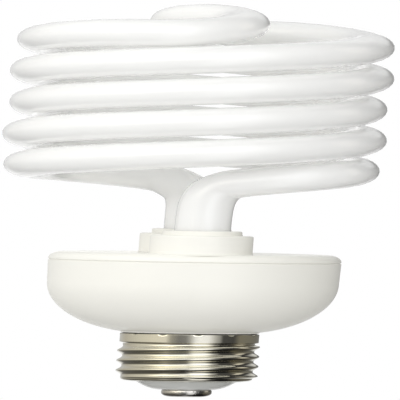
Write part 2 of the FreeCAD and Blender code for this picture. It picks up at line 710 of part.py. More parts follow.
def choke_bobbin():
    low, high = choke_window()
    hole = CORE_THICK + 2 * FIT
    reach_y = CHOKE_WIDTH / 2 - CORE_LIMB - FIT
    place = (CHOKE_X, 0)
    pieces = [block(hole + 2 * BOBBIN_WALL, hole + 2 * BOBBIN_WALL, low, high, place)]
    for bottom in (low, high - BOBBIN_WALL):
        pieces.append(block(2 * BOBBIN_REACH, 2 * reach_y, bottom, bottom + BOBBIN_WALL, place))
    rail_x = BOBBIN_REACH - CHOKE_RAIL / 2
    for side in (-1, 1):
        rail = (CHOKE_X + side * rail_x, 0)
        pieces.append(block(CHOKE_RAIL, 2 * reach_y, high - BOBBIN_WALL, BOARD_BOTTOM - STANDOFF, rail))
    pins = up_leads(choke_pins(), high - BOBBIN_WALL)
    bobbin = joined(pieces + pins)
    return bobbin.cut(block(hole, hole, low - 1, high + 1, place))


def choke_winding():
    low, high = choke_window()
    inner = CORE_THICK + 2 * FIT + 2 * BOBBIN_WALL
    place = (CHOKE_X, 0)
    reach_y = CHOKE_WIDTH / 2 - CORE_LIMB - 3 * FIT
    coil = block(2 * WINDING_REACH, 2 * reach_y, low + BOBBIN_WALL, high - BOBBIN_WALL, place)
    upright = [e for e in coil.Edges if e.BoundBox.ZLength > 1]
    coil = coil.makeFillet(WINDING_EDGE, upright)
    return coil.cut(block(inner, inner, low, high, place))


def drive_toroid():
    top = BOARD_BOTTOM - STANDOFF - TURN_WALL
    ring = cylinder(TOROID_R, top - TOROID_HEIGHT, top, TOROID_PLACE)
    ring = bevelled(ring, TURN_WALL, level_edge(top))
    return ring.cut(cylinder(TOROID_HOLE_R, top - TOROID_HEIGHT - 1, top + 1, TOROID_PLACE))


def drive_windings():
    """Groups of wire turns round the ring core, with two leads up to the board."""
    top = BOARD_BOTTOM - STANDOFF - TURN_WALL
    middle = (TOROID_R + TOROID_HOLE_R) / 2
    width = TOROID_R - TOROID_HOLE_R
    turns = []
    for group in range(TURN_GROUPS):
        for turn in range(TURNS_PER_GROUP):
            at = (TOROID_PLACE[0] + middle, TOROID_PLACE[1])
            outer = block(width + 2 * TURN_WALL, TURN_WALL, top - TOROID_HEIGHT - TURN_WALL, top + TURN_WALL, at)
            loop = outer.cut(block(width + TURN_SLACK, 2 * TURN_WALL, top - TOROID_HEIGHT, top, at))
            degrees = TURN_PHASE + 360 / TURN_GROUPS * group + TURN_ANGLE * (turn - 1)
            turns.append(turned(loop, degrees, TOROID_PLACE))
    leads = up_leads(lead_pair(TOROID_PLACE, TOROID_PITCH, 30), BOARD_BOTTOM - STANDOFF)
    return Part.makeCompound(turns + leads)


def switching_transistors():
    """Two flat power transistors that hang by their three legs, each with a screw hole."""
    high = BOARD_BOTTOM - TRANSISTOR_LEG
    low = high - TRANSISTOR_HEIGHT
    parts = []
    for side in (-1, 1):
        place = (side * TRANSISTOR_X, TRANSISTOR_Y)
        body = block(TRANSISTOR_WIDTH, TRANSISTOR_THICK, low, high, place)
        hole = Part.makeCylinder(TAB_HOLE_R, 2 * TRANSISTOR_THICK,
                                 V(place[0], place[1] - TRANSISTOR_THICK, low + TAB_HOLE_RISE), V(0, 1, 0))
        legs = [p for p in transistor_leads() if p[0] * side > 0]
        parts.append(joined([body.cut(hole)] + up_leads(legs, high - LEAD_SINK)))
    return Part.makeCompound(parts)


def radial_box(name):
    """Film capacitor: a block with rounded edges, hung under the board by two leads."""
    place, size, pitch, degrees = RADIAL_BOXES[name]
    place = on_board(place)
    width, thick, height = on_board(size)
    top = BOARD_BOTTOM - STANDOFF
    body = block(width, thick, top - height, top, place)
    body = bevelled(body, BOX_EDGE * thick, lambda e: e.BoundBox.ZMin < top - 1e-3)
    body = turned(body, degrees, place)
    return joined([body] + up_leads(radial_leads(name), top - LEAD_SINK))


def axial_part(name):
    """Small round parts that lie on the board, each with a lead bent down at both ends."""
    places, radius, length, degrees = AXIAL_PARTS[name]
    radius, length = on_board((radius, length))
    pitch = length + 2 * AXIAL_REACH
    middle = BOARD_TOP + radius + FIT
    parts = []
    for place in [on_board(shares) for shares in places]:
        body = Part.makeCylinder(radius, length, V(place[0] - length / 2, place[1], middle), V(1, 0, 0))
        pieces = [body, block(pitch + LEAD_SIDE, LEAD_SIDE,
                              middle - LEAD_SIDE / 2, middle + LEAD_SIDE / 2, place)]
        for end in lead_pair(place, pitch, 0):
            pieces.append(block(LEAD_SIDE, LEAD_SIDE, BOARD_BOTTOM, middle, end))
        parts.append(turned(joined(pieces), degrees, place))
    return Part.makeCompound(parts)


def start_thermistor():
    top = BOARD_BOTTOM - STANDOFF
    centre = V(THERMISTOR_PLACE[0] - THERMISTOR_THICK / 2, THERMISTOR_PLACE[1], top - THERMISTOR_R)
    disc = Part.makeCylinder(THERMISTOR_R, THERMISTOR_THICK, centre, V(1, 0, 0))
    disc = turned(disc, 135, THERMISTOR_PLACE)
    return joined([disc] + up_leads(lead_pair(THERMISTOR_PLACE, THERMISTOR_PITCH, 45), top - THERMISTOR_R))


def input_choke_core():
    top = BOARD_BOTTOM - STANDOFF
    low = top - INPUT_CHOKE_HEIGHT
    drum = joined([
        cylinder(INPUT_CHOKE_R, low, low + INPUT_FLANGE, INPUT_CHOKE_PLACE),
        cylinder(INPUT_WAIST_R, low, top, INPUT_CHOKE_PLACE),
        cylinder(INPUT_CHOKE_R, top - INPUT_FLANGE, top, INPUT_CHOKE_PLACE),
    ])
    return joined([drum] + up_leads(lead_pair(INPUT_CHOKE_PLACE, INPUT_CHOKE_R, 90), top - INPUT_FLANGE / 2))


def input_choke_winding():
    top = BOARD_BOTTOM - STANDOFF - INPUT_FLANGE
    low = BOARD_BOTTOM - STANDOFF - INPUT_CHOKE_HEIGHT + INPUT_FLANGE
    coil = cylinder(INPUT_CHOKE_R - INPUT_COIL_DROP, low, top, INPUT_CHOKE_PLACE)
    return coil.cut(cylinder(INPUT_WAIST_R, low, top, INPUT_CHOKE_PLACE))


def wrap_pins():
    pins = []
    for place in pin_places():
        pins.append(block(PIN_SIDE, PIN_SIDE, BOARD_BOTTOM, BOARD_TOP + PIN_HEIGHT, place))
    return Part.makeCompound(pins)


def filament_leads():
    """Four wires, down out of the pinched glass and across to the pins that they are wound on."""
    top = BOARD_TOP + GLASS_FOOT_GAP
    level = top - FILAMENT_DROP
    reach = PIN_OFFSET - PIN_SIDE / 2 - FILAMENT_SPREAD
    wires = []
    for leg in SOCKETS:
        for side in (-1, 1):
            place = (leg[0] + side * FILAMENT_SPREAD, leg[1])
            down = cylinder(FILAMENT_R, level, top, place)
            across = Part.makeCylinder(FILAMENT_R, reach, V(place[0], place[1], level), V(side, 0, 0))
            wires.append(joined([down, across]))
    return Part.makeCompound(wires)


def line_wire():
    """Sleeved wire from the contact's stem up past the capacitor to the board."""
    x, y = LINE_WIRE_PLACE
    stem_top = SHELL_BOTTOM + SHELL_WALL + INSULATOR_WALL
    rise = stem_top + LINE_WIRE_RISE
    points = [(0, 0, stem_top), (0, 0, rise), (x, y, rise + LINE_WIRE_LEAN), (x, y, BOARD_TOP + SOLDER_LENGTH)]
    return swept(bent_path(points, LINE_WIRE_BEND), LINE_WIRE_R)


def neutral_wire():
    """Bare wire from the board down the neck, round its edge and up between neck and shell."""
    x, y = NEUTRAL_PLACE
    reach = math.hypot(x, y)
    out = NECK_R - NEUTRAL_WIRE_R
    low = NECK_BOTTOM - NEUTRAL_WIRE_R - FIT
    points = [(x, y, BOARD_TOP + SOLDER_LENGTH), (x, y, low),
              (x * out / reach, y * out / reach, low), (x * out / reach, y * out / reach, neutral_top())]
    return swept(bent_path(points, NEUTRAL_BEND), NEUTRAL_WIRE_R)


NODES = {
    "glass_spiral": glass_spiral,
    "leg_cement": leg_cement,
    "holder_cover": holder_cover,
    "ballast_housing": ballast_housing,
    "screw_shell": screw_shell,
    "cap_insulator": cap_insulator,
    "centre_contact": centre_contact,
    "circuit_board": circuit_board,
    "smoothing_capacitor": smoothing_capacitor,
    "choke_core": choke_core,
    "choke_bobbin": choke_bobbin,
    "choke_winding": choke_winding,
    "drive_toroid": drive_toroid,
    "drive_windings": drive_windings,
    "switching_transistors": switching_transistors,
    "start_thermistor": start_thermistor,
    "input_choke_core": input_choke_core,
    "input_choke_winding": input_choke_winding,
    "wrap_pins": wrap_pins,
    "filament_leads": filament_leads,
    "line_wire": line_wire,
    "neutral_wire": neutral_wire,
}


def main():
    os.makedirs("parts", exist_ok=True)
    shapes = {name: make() for name, make in NODES.items()}
    shapes.update({name: radial_box(name) for name in RADIAL_BOXES})
    shapes.update({name: axial_part(name) for name in AXIAL_PARTS})
    for name, shape in shapes.items():
        solids = len(shape.Solids)
        print(f"{name}: {solids} solid(s), valid {shape.isValid()}, {shape.Volume:.1f} mm3")
        shape.exportStep(f"parts/{name}.step")


main()
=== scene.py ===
import bpy
import json
import math
import numpy as np
from functools import partial
from mathutils import Matrix, Vector


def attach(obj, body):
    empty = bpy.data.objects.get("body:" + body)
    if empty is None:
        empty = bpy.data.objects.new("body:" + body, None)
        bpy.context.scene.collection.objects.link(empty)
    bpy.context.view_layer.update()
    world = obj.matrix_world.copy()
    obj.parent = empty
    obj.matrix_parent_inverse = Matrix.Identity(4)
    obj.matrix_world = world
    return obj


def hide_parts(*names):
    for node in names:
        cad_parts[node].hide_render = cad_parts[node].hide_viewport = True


# Spiral energy saving bulb: its six outside pieces in finer detail, all materials, the studio and the camera.
# Sizes are in millimetres and angles in degrees, unless a comment says otherwise.

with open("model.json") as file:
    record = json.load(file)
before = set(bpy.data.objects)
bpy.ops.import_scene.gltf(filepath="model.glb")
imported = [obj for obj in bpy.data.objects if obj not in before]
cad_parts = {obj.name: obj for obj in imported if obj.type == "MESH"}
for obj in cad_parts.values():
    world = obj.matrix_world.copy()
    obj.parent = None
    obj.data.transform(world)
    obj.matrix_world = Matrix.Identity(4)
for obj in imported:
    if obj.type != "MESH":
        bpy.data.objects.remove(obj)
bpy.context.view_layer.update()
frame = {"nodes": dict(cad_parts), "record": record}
MM = 0.001

# Faces round a turned piece
SEGMENTS = 160
SMALL_SEGMENTS = 128
RIM_SEGMENTS = 256
SHELL_SEGMENTS = 288

# Glass tube
TUBE_R = 5.02
COIL_R = 30.05                  # middle of the tube in the coil
COIL_LEAD = 22.95               # rise of one strand in a full turn
COIL_START_Z = 84.2             # height of both strands where their first full turn begins
COIL_TURNS = 2.0                # full turns before each strand leaves the ring
COIL_OFF_X = -1.95              # the coil stands a little to the left of the cap
COIL_LEAN = math.radians(1.17)  # and leans back towards the middle on its way up
STRAND_SPREAD = 0.3             # each strand lies this far to its own side
CROSSOVER_ANGLE = 53.0          # past the last full turn, where a strand turns in to the middle
CROSSOVER_Z = 139.85            # middle of the tube where the strands meet
CROSSOVER_EASE = 1.4            # how late a strand rises to it
CROSSOVER_POLES = 6
FRONT_LEG = (0.81, -15.5)
BACK_LEG = (-1.16, 15.5)
LEG_R = 5.2
LEG_FOOT_Z = 49.0
LEG_TOP_DROP = 17.2             # the straight part of a leg ends this far below the coil's start
LEG_POLES = 4
POLE_STEP = 30.0                # from pole to pole round the ring
POLE_OUT = 3 / (2 + math.cos(math.radians(POLE_STEP)))  # poles stand out, so the spline lies on the ring
SPLINE_STEPS = 14               # rings of faces from pole to pole
ROUND_STEPS = 10                # Blender's bevel resolution of the tube

# Poles of the bend from a leg into the coil: from the leg along x and out from the middle in y, as shares of
# COIL_R, and below the coil's start, as a share of COIL_LEAD
FRONT_SHOULDER = ((0.014, 0.007, 0.429), (0.111, 0.018, 0.251), (0.238, 0.102, 0.198), (0.789, 0.095, 0.059))
BACK_SHOULDER = ((-0.003, 0.009, 0.413), (0.126, 0.015, 0.256), (0.210, 0.112, 0.155), (0.856, 0.114, 0.037))

# Sockets on the cover
SOCKET_R = 9.5
SOCKET_HEIGHT = 6.9
SOCKET_EDGE = 0.6
SOCKET_BEND = 0.5               # hollow bend at the socket's foot
SKIRT_OUT = 1.2                 # the socket's foot runs on under the cover's top
SKIRT_DOWN = 0.4
SEAT_R = 7.35
SEAT_HEIGHT = 1.7
SEAT_EDGE = 0.5
SEAT_BEND = 0.3
HOLE_GAP = 0.15                 # between a leg and the wall of its hole
HOLE_EDGE = 0.3
HOLE_DEPTH = 2.5
HOLE_FLOOR = 1.0                # the hole's bottom runs this far into the leg

# Cover and housing
RIM_R = 26.95
RIM_Z = 50.0                    # seam between cover and housing
SEAM_GROOVE = 0.25
SEAM_GAP = 0.02                 # half the gap at the bottom of the groove
COVER_TOP = 52.9
COVER_EDGE = 2.5
COVER_BORDER = 0.4              # ring of faces along the flat top's edge, which keeps its shading flat
COVER_MIDDLE = 0.6              # and another ring at this share of the flat's radius
PLUG_STEP = 2.5                 # from the rim in to the plug under the cover
PLUG_DEPTH = 1.5
RIM_WALL = 2.4
DRAFT = 0.15                    # the wall narrows this much down to the bend
DRAFT_RINGS = (0.2, 0.5, 0.8)
BEND_Z = 41.9
BEND_R = 18.45
BEND_ANGLE = 75.0
FOOT_EDGE = 0.15                # soft edge where the bowl meets the cap
FOOT_DROP = 0.1
FOOT_WALL = 1.5

# Screw cap
PITCH = 3.629
CREST_R = 13.1
ROOT_R = 12.1
CREST_PHASE = 15.1              # height of a crest on the +X side
CREST_SHARP = 1.25              # above 1, the crests are narrower than the roots
THREAD_FADE = 0.9
COLLAR_R = 12.8
COLLAR_HEIGHT = 3.5
COLLAR_STEP = 0.5
SHELL_WALL = 0.3
SHELL_BOTTOM = 6.0
SHELL_TOP = 23.7
SHELL_EDGE = 0.9
SHELL_ROWS = 150
SHELL_LAP = 1.1                 # the top edge ends this far inside the collar
SHELL_LAP_DEPTH = 1.5
LIP_R = 9.3
LIP_Z = 5.65
LIP_WIDTH = 0.6
CURL_HEIGHT = 0.5               # the collar starts to curl in this far below its top
CURL_LENGTH = 0.45
CURL_DEPTH = 0.7
STAKES = 12
STAKE_PHASE = 7.0               # from the front round to the first punched stake
STAKE_DROP = 0.35               # middle of a stake below the shell's top
STAKE_WIDTH = 0.5
STAKE_HEIGHT = 0.4
STAKE_DEPTH = 0.55
SHADE_UNDER_HOUSING = (SHELL_TOP - 0.7, SHELL_TOP - 0.35, 0.12)  # painted shade: under the housing's foot, the curled edge keeps this share of the metal's colour

# Contact and insulator
CONTACT_R = 4.65
CONTACT_OFF_X = 0.2
CONTACT_FLAT_R = 2.7
CONTACT_HEIGHT = 2.6
CONTACT_ROUND = 0.8             # height of the rounded edge over its width
CONTACT_DOME = ((0.4, 0.01), (0.8, 0.03))  # share of the flat's radius and height there
CONTACT_DOME_RISE = 0.04        # and at the flat's edge
CONTACT_BACK_EDGE = (0.15, 0.3)
INSULATOR_TOP = (LIP_R + 0.05, LIP_Z + 0.15)
INSULATOR_FOOT_R = CONTACT_R - 0.1
INSULATOR_FLAT = 0.5            # ring under the contact
INSULATOR_SAG = 0.75            # its face bows down this far from a straight cone
INSULATOR_STEPS = 20
INSULATOR_RIM = 0.6             # its hidden edge stands this far above the shell's lip

# Materials
COAT_ROUGHNESS = 0.12
SCATTER_REACH = 7 * MM          # how far light runs inside the white glass
WANDER_DETAIL = 4.0
GRAIN_SCALE = 8                 # the bump's grain is this much finer than the colour's
GRAIN_HEIGHT = 0.2 * MM

# Camera. Pixels are the photograph's.
PHOTO = 400
SQUEEZE = 0.4992                # the photograph's height over its true height
PIXEL = 0.1836 * MM             # metres a pixel across
ROLL = math.radians(2.28)
ORIGIN_PX = (184.9, 396.85)     # where the contact's flat shows
ELEVATION = math.radians(1.2)
DISTANCE = 6.5                  # metres
SENSOR = 36.0
CLIP = (0.5, 40.0)              # metres

# Studio, in metres
FLOOR_R = 0.45
FLOOR_Z = -0.025
FLOOR_CORNERS = 96
FLOOR_FADE = (0.06, 0.3)        # from the bulb, where the floor melts into the white background
FLOOR_SEEN = 0.93
FLOOR_THROWN = 0.72             # how much light it throws up on the bulb
KEY_PLACE = (-0.6, -0.9, 0.5)
KEY_TARGET = (0, 0, 0.08)
KEY_SIZE = 0.6
KEY_POWER = 1.5
WORLD_LIGHT = 1.26
WORLD_SHEEN = 1.2


def linked(name, data):
    obj = bpy.data.objects.new(name, data)
    bpy.context.scene.collection.objects.link(obj)
    return obj


def smooth_mesh(name, verts, faces, sharp):
    mesh = bpy.data.meshes.new(name)
    mesh.from_pydata([Vector(v) * MM for v in verts], [], faces)
    mesh.validate()
    mesh.polygons.foreach_set("use_smooth", [True] * len(mesh.polygons))
    mesh.set_sharp_from_angle(angle=math.radians(sharp))
    return linked(name, mesh)


def arc(centre, radius, start, end, steps=12):
    """Points of an arc in the outline's plane, with angles from the +r axis towards +z."""
    angles = [math.radians(start + (end - start) * i / steps) for i in range(steps + 1)]
    return [(centre[0] + radius * math.cos(a), centre[1] + radius * math.sin(a)) for a in angles]


def quarter(steps):
    """Angles of a quarter turn, in radians."""
    return [math.pi / 2 * i / steps for i in range(steps + 1)]


def lathe(name, profile, place=(0, 0), segments=SEGMENTS, sharp=35.0):
    """Surface of revolution from (radius, height) points, bottom up. A point on the axis closes the end, and a
    radius may also be a function of the angle."""
    verts, rings, faces = [], [], []
    for radius, z in profile:
        if radius == 0:
            rings.append([len(verts)] * segments)
            verts.append((*place, z))
            continue
        rings.append(range(len(verts), len(verts) + segments))
        for i in range(segments):
            angle = 2 * math.pi * i / segments
            r = radius(angle) if callable(radius) else radius
            verts.append((place[0] + r * math.cos(angle), place[1] + r * math.sin(angle), z))
    for low, high in zip(rings, rings[1:]):
        for i in range(segments):
            j = (i + 1) % segments
            faces.append(list(dict.fromkeys([low[i], low[j], high[j], high[i]])))
    return smooth_mesh(name, verts, faces, sharp)


def joined(name, objects):
    with bpy.context.temp_override(active_object=objects[0], selected_editable_objects=objects):
        bpy.ops.object.join()
    objects[0].name = name
    return objects[0]


# Glass spiral

def coil_axis(height):
    return COIL_OFF_X + (height - COIL_START_Z) * math.tan(COIL_LEAN)


def ring_height(degrees):
    return COIL_START_Z + COIL_LEAD * degrees / 360


def half_poles(leg, shoulder, side):
    """Spline poles of one half of the tube, from the leg's foot up, each with the tube's radius there."""
    straight = COIL_START_Z - LEG_TOP_DROP - LEG_FOOT_Z
    poles = [(*leg, LEG_FOOT_Z + straight * i / (LEG_POLES - 1), LEG_R) for i in range(LEG_POLES)]
    for i, (along, out, below) in enumerate(shoulder):
        radius = LEG_R + (TUBE_R - LEG_R) * i / len(shoulder)
        poles.append((leg[0] + side * along * COIL_R, leg[1] - side * out * COIL_R,
                      COIL_START_Z - COIL_LEAD * below, radius))
    leave = 360 * COIL_TURNS + CROSSOVER_ANGLE
    for step in range(round(leave / POLE_STEP)):
        angle = math.radians(POLE_STEP * step)
        height = ring_height(POLE_STEP * step)
        x = coil_axis(height) - side * STRAND_SPREAD + side * COIL_R * POLE_OUT * math.cos(angle)
        poles.append((x, side * COIL_R * POLE_OUT * math.sin(angle), height, TUBE_R))
    angle = math.radians(leave)
    start = ring_height(leave)
    for step in range(CROSSOVER_POLES):
        share = step / CROSSOVER_POLES
        turn = angle + math.pi * share
        height = start + (CROSSOVER_Z - start) * (1 - math.cos(math.pi * share ** CROSSOVER_EASE)) / 2
        x = COIL_R / 2 * (math.cos(angle) + POLE_OUT * math.cos(turn))
        y = COIL_R / 2 * (math.sin(angle) + POLE_OUT * math.sin(turn))
        spread = side * STRAND_SPREAD * (1 - share)
        poles.append((coil_axis(height) - spread + side * x, side * y, height, TUBE_R))
    return poles


def glass_spiral():
    front = half_poles(FRONT_LEG, FRONT_SHOULDER, 1)
    back = half_poles(BACK_LEG, BACK_SHOULDER, -1)
    poles = front + [(coil_axis(CROSSOVER_Z), 0, CROSSOVER_Z, TUBE_R)] + back[::-1]
    curve = bpy.data.curves.new("glass_tube", "CURVE")
    curve.dimensions = "3D"
    curve.bevel_depth = TUBE_R * MM
    curve.bevel_resolution = ROUND_STEPS
    curve.use_fill_caps = True
    spline = curve.splines.new("NURBS")
    spline.points.add(len(poles) - 1)
    for point, (x, y, z, radius) in zip(spline.points, poles):
        point.co = (x * MM, y * MM, z * MM, 1)
        point.radius = radius / TUBE_R
    spline.order_u = 4
    spline.use_endpoint_u = True
    spline.resolution_u = SPLINE_STEPS
    return linked("glass_tube", curve)


# Plastic pieces

def socket(leg):
    """Stepped round socket, with a hole for the leg and soft edges."""
    collar = COVER_TOP + SOCKET_HEIGHT
    seat = collar + SEAT_HEIGHT
    hole = LEG_R + HOLE_GAP
    profile = [(SOCKET_R + SKIRT_OUT, COVER_TOP - SKIRT_DOWN)]
    profile += arc((SOCKET_R + SOCKET_BEND, COVER_TOP + SOCKET_BEND), SOCKET_BEND, 270, 180, 6)
    profile += arc((SOCKET_R - SOCKET_EDGE, collar - SOCKET_EDGE), SOCKET_EDGE, 0, 90)
    profile += arc((SEAT_R + SEAT_BEND, collar + SEAT_BEND), SEAT_BEND, 270, 180, 6)
    profile += arc((SEAT_R - SEAT_EDGE, seat - SEAT_EDGE), SEAT_EDGE, 0, 90)
    profile += arc((hole + HOLE_EDGE, seat - HOLE_EDGE), HOLE_EDGE, 90, 180, 6)
    profile += [(hole, seat - HOLE_DEPTH), (LEG_R - HOLE_FLOOR, seat - HOLE_DEPTH)]
    return lathe("socket", profile, leg, SMALL_SEGMENTS)


def holder_cover():
    flat = RIM_R - COVER_EDGE
    seam = RIM_Z + SEAM_GROOVE
    plug = RIM_R - PLUG_STEP
    profile = [(0, RIM_Z - PLUG_DEPTH), (plug, RIM_Z - PLUG_DEPTH), (plug, RIM_Z)]
    profile += [(RIM_R - SEAM_GROOVE, RIM_Z + SEAM_GAP)]
    profile += [(flat + COVER_EDGE * math.sin(a), seam + (COVER_TOP - seam) * math.cos(a))
                for a in reversed(quarter(16))]
    profile += [(flat - COVER_BORDER, COVER_TOP), (flat * COVER_MIDDLE, COVER_TOP), (0, COVER_TOP)]
    disc = lathe("cover_disc", profile, segments=RIM_SEGMENTS)
    return joined("cover", [disc, socket(FRONT_LEG), socket(BACK_LEG)])


def ballast_housing():
    seam = RIM_Z - SEAM_GROOVE
    bowl = arc((RIM_R - DRAFT - BEND_R, BEND_Z), BEND_R, 0, -BEND_ANGLE, 48)[::-1]
    slope = math.tan(math.radians(90 - BEND_ANGLE))
    foot = bowl[0][1] - (bowl[0][0] - COLLAR_R) * slope
    low = SHELL_TOP - FOOT_DROP
    profile = [(COLLAR_R - FOOT_WALL, low), (COLLAR_R - FOOT_EDGE, low), (COLLAR_R, foot - FOOT_DROP),
               (COLLAR_R + FOOT_EDGE, foot + FOOT_DROP)]
    profile += bowl
    profile += [(RIM_R - DRAFT * share, seam + (BEND_Z - seam) * share) for share in reversed(DRAFT_RINGS)]
    profile += [(RIM_R, seam), (RIM_R - SEAM_GROOVE, RIM_Z - SEAM_GAP), (RIM_R - RIM_WALL, RIM_Z - SEAM_GAP)]
    return lathe("housing", profile, segments=RIM_SEGMENTS)


# Screw cap

def soft_step(value):
    value = min(1.0, max(0.0, value))
    return value * value * (3 - 2 * value)


def shell_radius(height, angle):
    """Outside radius of the rolled shell: right-hand thread, plain collar, curled edge and punched stakes."""
    low = SHELL_BOTTOM + SHELL_EDGE
    high = SHELL_TOP - COLLAR_HEIGHT - COLLAR_STEP
    turn = (height - CREST_PHASE) / PITCH - angle / (2 * math.pi)
    crest = (0.5 + 0.5 * math.cos(2 * math.pi * turn)) ** CREST_SHARP
    crest *= soft_step((height - low) / THREAD_FADE) * soft_step((high - height) / THREAD_FADE)
    collar = soft_step((height - high) / COLLAR_STEP)
    radius = ROOT_R + max((CREST_R - ROOT_R) * crest, (COLLAR_R - ROOT_R) * collar)
    spacing = 2 * math.pi / STAKES
    first = math.radians(270 + STAKE_PHASE)
    aside = ((angle - first + spacing / 2) % spacing - spacing / 2) * COLLAR_R
    above = height - SHELL_TOP + STAKE_DROP
    dent = math.exp(-(aside / STAKE_WIDTH) ** 2 - (above / STAKE_HEIGHT) ** 2)
    curl = soft_step((height - SHELL_TOP + CURL_HEIGHT) / CURL_LENGTH)
    return radius - STAKE_DEPTH * dent - CURL_DEPTH * curl


def screw_shell():
    """Thin rolled shell, from the conical lip at its bottom up to the edge that is curled in at its top."""
    low = SHELL_BOTTOM + SHELL_EDGE
    inside = LIP_Z + SHELL_WALL
    profile = [(LIP_R - LIP_WIDTH, inside), (LIP_R, inside), (LIP_R, LIP_Z)]
    profile += arc((ROOT_R - SHELL_EDGE, low), SHELL_EDGE, 270, 352, 10)
    for row in range(SHELL_ROWS + 1):
        height = low + (SHELL_TOP - low) * row / SHELL_ROWS
        profile.append((partial(shell_radius, height), height))
    lap = COLLAR_R - SHELL_LAP
    profile += [(lap, SHELL_TOP), (lap, SHELL_TOP - SHELL_LAP_DEPTH)]
    return lathe("cap_shell", profile, segments=SHELL_SEGMENTS, sharp=50.0)


def cap_insulator():
    profile = [(0, CONTACT_HEIGHT), (INSULATOR_FOOT_R - INSULATOR_FLAT, CONTACT_HEIGHT)]
    for i in range(INSULATOR_STEPS + 1):
        t = i / INSULATOR_STEPS
        profile.append((INSULATOR_FOOT_R + (INSULATOR_TOP[0] - INSULATOR_FOOT_R) * t,
                        CONTACT_HEIGHT + (INSULATOR_TOP[1] - CONTACT_HEIGHT) * t
                        - INSULATOR_SAG * math.sin(math.pi * t)))
    profile.append((INSULATOR_TOP[0], LIP_Z + INSULATOR_RIM))
    return lathe("insulator", profile)


def centre_contact():
    """Button with a rounded edge and the low dome that solder leaves."""
    edge = CONTACT_R - CONTACT_FLAT_R
    inset, drop = CONTACT_BACK_EDGE
    profile = [(0, 0.0)] + [(CONTACT_FLAT_R * share, height) for share, height in CONTACT_DOME]
    profile += [(CONTACT_FLAT_R + edge * math.sin(a),
                 CONTACT_DOME_RISE + edge * CONTACT_ROUND * (1 - math.cos(a))) for a in quarter(12)]
    profile += [(CONTACT_R, CONTACT_HEIGHT - drop), (CONTACT_R - inset, CONTACT_HEIGHT), (0, CONTACT_HEIGHT)]
    return lathe("contact", profile, (CONTACT_OFF_X, 0), SMALL_SEGMENTS)


# Nodes

def feed(tree, target, value):
    """Links another node's output to an input, or writes a plain value on it."""
    if isinstance(value, bpy.types.NodeSocket):
        tree.links.new(value, target)
    else:
        target.default_value = value


def math_node(tree, operation, *values):
    node = tree.nodes.new("ShaderNodeMath")
    node.operation = operation
    for target, value in zip(node.inputs, values):
        feed(tree, target, value)
    return node.outputs["Value"]


def mixed(tree, mode, factor, first, second):
    node = tree.nodes.new("ShaderNodeMix")
    node.data_type = "RGBA"
    node.blend_type = mode
    for name, value in (("Factor", factor), ("A", first), ("B", second)):
        feed(tree, node.inputs[name], value)
    return node.outputs["Result"]


def mapped(tree, value, source, result, interpolation="LINEAR"):
    """Value moved from the source range, as (low, high), to the result range."""
    node = tree.nodes.new("ShaderNodeMapRange")
    node.interpolation_type = interpolation
    feed(tree, node.inputs["Value"], value)
    for name, end in zip(("From Min", "From Max", "To Min", "To Max"), (*source, *result)):
        node.inputs[name].default_value = end
    return node.outputs["Result"]


def mixed_shaders(tree, factor, first, second):
    node = tree.nodes.new("ShaderNodeMixShader")
    for target, value in zip(node.inputs, (factor, first, second)):
        feed(tree, target, value)
    return node.outputs["Shader"]


def ramp(tree, source, stops):
    """Colour ramp over stops of (position, value or colour)."""
    node = tree.nodes.new("ShaderNodeValToRGB")
    elements = node.color_ramp.elements
    while len(elements) < len(stops):
        elements.new(0.5)
    for element, (position, value) in zip(elements, stops):
        element.position = position
        element.color = (*value, 1) if isinstance(value, tuple) else (value, value, value, 1)
    feed(tree, node.inputs["Fac"], source)
    return node.outputs["Color"]


# Materials

